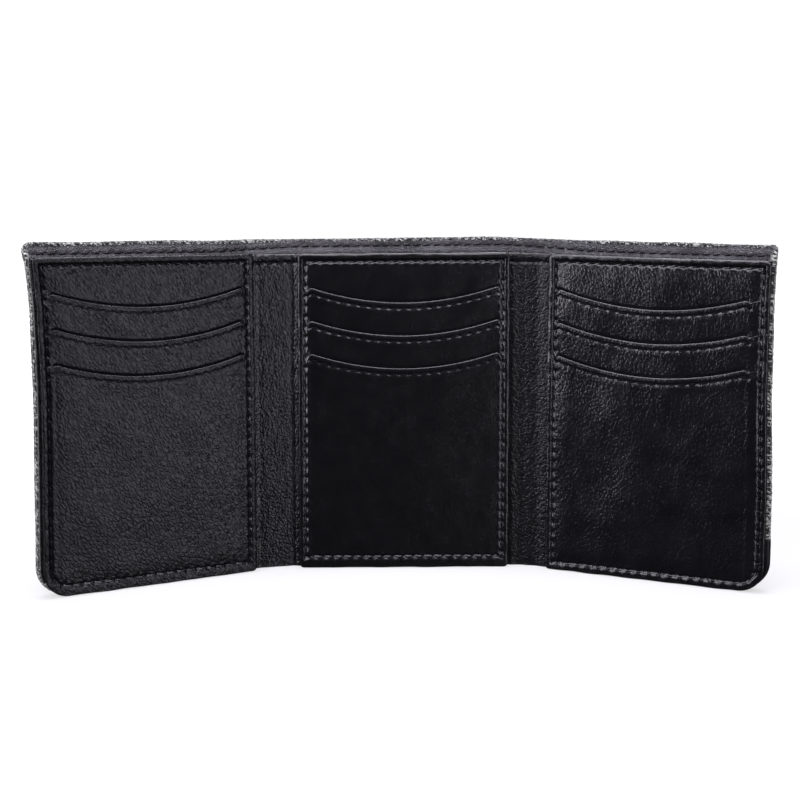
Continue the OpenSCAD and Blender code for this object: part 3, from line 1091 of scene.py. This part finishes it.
def cloth_stretch(span):
    """The cloth with its turned edge, and a mask of the edge's last part down the sides, where its
    painted light line goes.
    """
    box, radii = shell_outline(*[place is None for place in span])
    a, b = stretch_ends(span, -WRAP)
    edges = [edge for edge, place in zip((a, b), span) if place is None]
    low, high = -WRAP, SHELL_Z1 + WRAP
    rows = graded(low, high, 0.28, 0.52 if edges else 1.2, [low, high], 4.6)
    u, v = np.meshgrid(graded(a, b, 0.28, 0.48, edges, 4.6), rows)
    big = [r + WRAP if r > SQUARE else 0 for r in radii]
    u, v = round_corners(u, v, (a, b, rows[0], rows[-1]), big)
    weave = 0.5 * np.sin(u * 2 * math.pi / 1.24) * np.sin(v * 2 * math.pi / 1.24)
    rough = weave + 0.5 * waves(u, v, 0.9, 2.2, 101, 24)
    distance, foot_u, foot_v, _, _ = outline_frame(u, v, box, radii)
    at_edge = smooth((distance + 2.5) / 2.0)
    lift = (0.03 + 0.09 * at_edge) * rough + 0.10 * waves(u, v, 16, 50, 102)
    s, y, z, t, side = shell_point(u, v, box, radii, lift)
    z = z + smooth((v - SHELL_Z1 + 6) / 6) * 0.22 * waves(u, 0 * u, 14, 60, 103, 6)
    s_in, y_in, z_in, _, _ = shell_point(u, v, box, radii, inner=True)
    # mask of the painted light line: the turned edge's last part, down the sides only
    tone = (smooth((t - 0.91) / 0.04) * side).ravel()
    # the weave is drawn in as it goes round the edge
    drawn_in = np.where(distance > 0, 0.55, 1.0)
    pattern = (foot_u + (u - foot_u) * drawn_in, foot_v + (v - foot_v) * drawn_in, 0 * u)
    return slab(s, z, y, y_in, pattern, (s_in, z_in)), np.concatenate([tone, 0 * tone])


for stretch, span in spans(JOIN).items():
    part, tone = cloth_stretch(span)
    cloth = build_stretch(
        "shell_cloth", stretch, [part], TWEED, ["cloth", "hem"], tone
    )


PATCH = 17.0  # how far the corner patch goes from the corner, along both edges
PATCH_PROUD = 0.20  # how far it stands off the cloth


def patch_part():
    """The leather patch that wraps the right wing's outer bottom corner."""
    box, radii = shell_outline(False, True)
    steps = np.concatenate([np.linspace(0, 5.2, 22), np.linspace(5.2, PATCH + WRAP, 26)[1:]])
    a, b = np.meshgrid(steps, steps / steps[-1])
    height = steps[-1] - 0.72 * np.clip(a - CORNER_R, 0, None) ** 1.15
    u = SHELL_S1 + WRAP - a
    v = -WRAP + b * height
    u, v = round_corners(u, v, (-FAR, SHELL_S1 + WRAP, -WRAP, FAR), (0, CORNER_R + WRAP, 0, 0))
    rim = np.minimum.reduce([b * height, height * (1 - b), steps[-1] - a, a + 9])
    lift = PATCH_PROUD * (0.35 + 0.65 * smooth(rim / 0.7)) + 0.03 * waves(u, v, 3, 8, 111)
    s, y, z, _, _ = shell_point(u, v, box, radii, lift)
    s_in, y_in, z_in, _, _ = shell_point(u, v, box, radii, -0.12)
    return slab(s, z, y, y_in, (u, v, 0 * u), (s_in, z_in))


build(
    "right_wing_corner_patch_leather", [patch_part()], PATCH_LEATHER,
    ["right_wing_corner_patch"], "right_wing",
)


# ---------------- long stitch rows
BACK_IN = 3.5  # the outside's row round the sides and the bottom, in from the edge
BACK_SUNK = 0.17  # how far its stitches are pulled into the cloth
back_box = (SHELL_S0 + BACK_IN, SHELL_S1 - BACK_IN, BACK_IN, SHELL_Z1 + 60)
back_radii = inset_radii((CORNER_R, CORNER_R, 0, 0), BACK_IN)
BACK_ROW = along(ring_loops(back_box, back_radii, [0], 0.5)[0], closed=True)


def within(row, span, top=math.inf):
    """The centres and directions of a row's stitches that lie on a stretch, and below top."""
    centres, ahead, _ = row
    low, high = [sign * math.inf if at is None else at for at, sign in zip(span, (-1, 1))]
    keep = (centres[:, 0] >= low) & (centres[:, 0] < high) & (centres[:, 1] < top)
    return centres[keep], ahead[keep]


def on_the_back(part, depth):
    """Stitches made at level 0, turned to face the back at this depth."""
    verts, faces, shown = part
    return verts * (1, -1, 1) + (0, depth, 0), faces, shown


for (stretch, span), liner_span in zip(spans(JOIN).items(), spans(0.0).values()):
    centres, ahead = within(FACING_LINE, span)
    level = FACING[2] + lean(centres[:, 1]) + 0.24
    depth = CLOTH_BACK - BACK_SUNK
    parts = [
        stitch_parts(centres, ahead, level, 120),
        on_the_back(stitch_parts(centres, ahead, 0.0, 121), depth + lean(FACING_ROW)),
        on_the_back(stitch_parts(*within(BACK_ROW, span, FACING_ROW - 2), 0.0, 122), depth),
    ]
    for row in LINER_ROWS:
        centres, ahead = within(row, liner_span)
        if len(centres):
            parts.append(stitch_parts(centres, ahead, LINER_FRONT + 0.12, 123))
    build_stretch("shell_stitches", stretch, parts, THREAD, ["top_thread"])

# ---------------- floor, backdrop, light, camera
WHITE = (1, 1, 1, 1)


def floor_material():
    """Matt white paper that burns out as in a packshot, a little less so near the wallet."""
    made = Surface("white_floor")
    place = made.node("NewGeometry").outputs["Position"]
    away = made.node("VectorMath", place, operation="LENGTH").outputs["Value"]
    made.feed("Emission Strength", made.ramp(away, 0.16, 0.34, 0.62, 1.1))
    return made.finish(
        Base_Color=(0.2, 0.2, 0.2, 1), Roughness=0.9, Specular_IOR_Level=0.1, Emission_Color=WHITE
    )


def backdrop_material():
    made = Surface("white_backdrop")
    made.nodes.remove(made.shader)
    glow = made.node("Emission", Color=WHITE, Strength=1.05)
    made.link(glow.outputs[0], made.nodes["Material Output"].inputs["Surface"])
    return made.material


def dress(name, material, unseen_by):
    """Names the object made last, and hides it from these kinds of light."""
    obj = bpy.context.object
    obj.name = name
    obj.data.materials.append(material)
    for kind in unseen_by:
        setattr(obj, "visible_" + kind, False)
    return obj


bpy.ops.mesh.primitive_plane_add(size=6.0, location=(0, 0, -0.0002))
floor = dress("floor", floor_material(), ("glossy", "shadow"))
bpy.ops.mesh.primitive_uv_sphere_add(segments=48, ring_count=24, radius=2.9, location=(0, 0, 0))
kinds = ("diffuse", "glossy", "transmission", "shadow")
backdrop = dress("backdrop", backdrop_material(), kinds)

world = bpy.data.worlds.new("dim_room")
world.use_nodes = True
room = world.node_tree.nodes["Background"].inputs
room["Color"].default_value = WHITE
room["Strength"].default_value = 0.02
bpy.context.scene.world = world


AIM = Vector((0, 0, 0.05))


def softbox(name, azimuth, elevation, distance, width, height, watts):
    """An area light round the wallet: azimuth 0 is in front, 90 to the right."""
    data = bpy.data.lights.new(name, "AREA")
    data.shape = "RECTANGLE"
    data.size, data.size_y = width, height
    data.energy = watts
    data.color = (0.93, 0.90, 1.0)
    lamp = bpy.data.objects.new(name, data)
    a, e = math.radians(azimuth), math.radians(elevation)
    outward = (math.sin(a) * math.cos(e), -math.cos(a) * math.cos(e), math.sin(e))
    lamp.location = AIM + distance * Vector(outward)
    lamp.rotation_mode = "QUATERNION"
    lamp.rotation_quaternion = (AIM - lamp.location).to_track_quat("-Z", "Y")
    bpy.context.scene.collection.objects.link(lamp)


softbox("key_right", 39, 1, 1.0, 0.40, 0.80, 3.6)
softbox("left", -57, 9, 1.0, 0.36, 0.54, 5.6)
softbox("high_front", -15, 46, 1.0, 1.5, 0.34, 13.0)
softbox("top", 0, 88, 1.0, 0.8, 0.40, 17.0)
softbox("rim_back", 180, 40, 1.2, 1.0, 0.5, 6.0)

scene = bpy.context.scene
scene.view_settings.view_transform = "Standard"
scene.view_settings.look = "None"

camera_data = bpy.data.cameras.new("camera")
camera = bpy.data.objects.new("camera", camera_data)
scene.collection.objects.link(camera)
camera_data.lens = 56.25
camera_data.sensor_width = 36.0
camera_data.shift_y = -0.1186
camera_data.clip_start = 0.01
camera_data.clip_end = 20.0
camera.location = (-0.0104, -0.4073, 0.1239)
camera.rotation_mode = "XYZ"
camera.rotation_euler = (math.radians(90 - 5.18), 0.0, math.radians(-1.28))
scene.camera = camera
